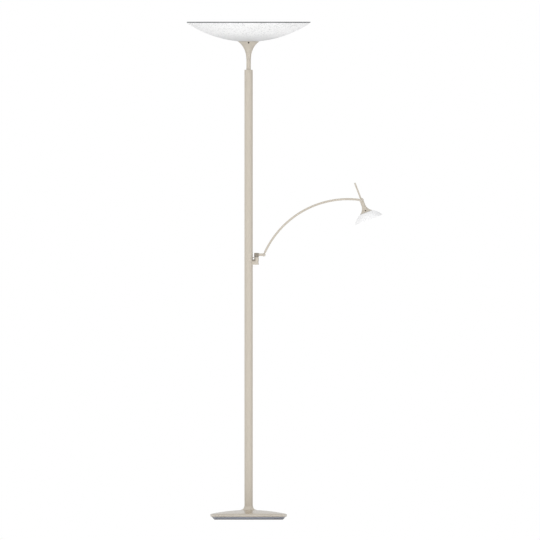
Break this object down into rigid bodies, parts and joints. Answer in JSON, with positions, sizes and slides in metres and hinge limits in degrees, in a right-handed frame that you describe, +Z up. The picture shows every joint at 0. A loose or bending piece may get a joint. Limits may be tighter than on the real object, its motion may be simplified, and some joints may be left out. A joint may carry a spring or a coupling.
{
  "type": "torchiere floor lamp",
  "caption": "Floor lamp with an upward glass bowl on a tall column and a reading light on a curved arm that swings, tilts and turns its shade.",
  "frame": {"origin": "centre of the base on the floor, on the axis of the column", "axes": "+Z up along the column, +X towards the reading light, -Y towards the viewer of the picture"},
  "size_m": [0.7072, 0.447, 1.7997],
  "materials": {
    "champagne_finish": "satin metallic lacquer, warm champagne grey",
    "satin_nickel": "satin nickel",
    "cast_iron": "dark painted casting",
    "felt": "dense dark felt",
    "black_plastic": "moulded black",
    "zinc_steel": "bright zinc plating",
    "brass": "turned brass",
    "cast_aluminium": "as cast",
    "black_steel": "black oxide",
    "silicone": "translucent white silicone",
    "frosted_bowl_glass": "white frosted glass, fine grain",
    "frosted_shade_glass": "white frosted glass",
    "clear_glass": "clear",
    "ceramic": "glazed white ceramic"
  },
  "bodies": {
    "stand": {"base_pad": "felt", "base_weight": "cast_iron", "base_cover": "champagne_finish", "cord_gland": "black_plastic", "base_washer": "zinc_steel", "base_nut": "zinc_steel", "base_tie": "brass", "column_tube": "champagne_finish", "foot_collar": "champagne_finish", "column_plug": "black_plastic", "top_bush": "champagne_finish", "upper_stem": "champagne_finish", "stem_guide": "black_plastic", "upper_trumpet": "champagne_finish", "stem_spigot": "brass", "bowl_seat": "cast_aluminium", "upper_grub_screw": "black_steel", "lower_gasket": "silicone", "glass_bowl": "frosted_bowl_glass", "upper_gasket": "silicone", "clamp_disc": "zinc_steel", "carrier_spacer": "brass", "carrier_nut": "zinc_steel", "bowl_tie": "brass", "lamp_carrier": "zinc_steel", "lamp_holder_left": "ceramic", "lamp_holder_right": "ceramic", "halogen_lamp": "clear_glass", "guard_glass": "clear_glass", "arm_bracket": "champagne_finish", "bracket_bolt": "zinc_steel", "blind_nut": "zinc_steel", "swivel_stop_screw": "black_steel", "swivel_washer": "black_plastic"},
    "swivel": {"swivel_head": "satin_nickel", "swivel_spindle": "zinc_steel", "stub_rod": "champagne_finish", "tilt_pin": "zinc_steel"},
    "arm": {"arm_tube": "champagne_finish", "arm_root_tongue": "champagne_finish", "arm_tip_tongue": "champagne_finish"},
    "reading_head": {"reading_shade": "frosted_shade_glass", "reading_trumpet": "champagne_finish", "head_knuckle": "champagne_finish", "head_pin": "zinc_steel", "handle_rod": "champagne_finish", "shade_seat": "cast_aluminium", "shade_ring_nut": "zinc_steel", "lamp_socket": "ceramic", "lamp_capsule": "clear_glass", "reading_grub_screw": "black_steel"}
  },
  "joints": [
    {"name": "arm_swing", "type": "hinge", "parent": "stand", "child": "swivel", "pos_m": [0.0285, 0, 0.949], "axis": [0, 0, 1], "range_deg": [-110, 110]},
    {"name": "arm_tilt", "type": "hinge", "parent": "swivel", "child": "arm", "pos_m": [0.0552, 0, 0.9576], "axis": [0, -1, 0], "range_deg": [-35, 25]},
    {"name": "head_tilt", "type": "hinge", "parent": "arm", "child": "reading_head", "pos_m": [0.40759, 0, 1.15495], "axis": [0, 1, 0], "range_deg": [-10, 40]}
  ]
}
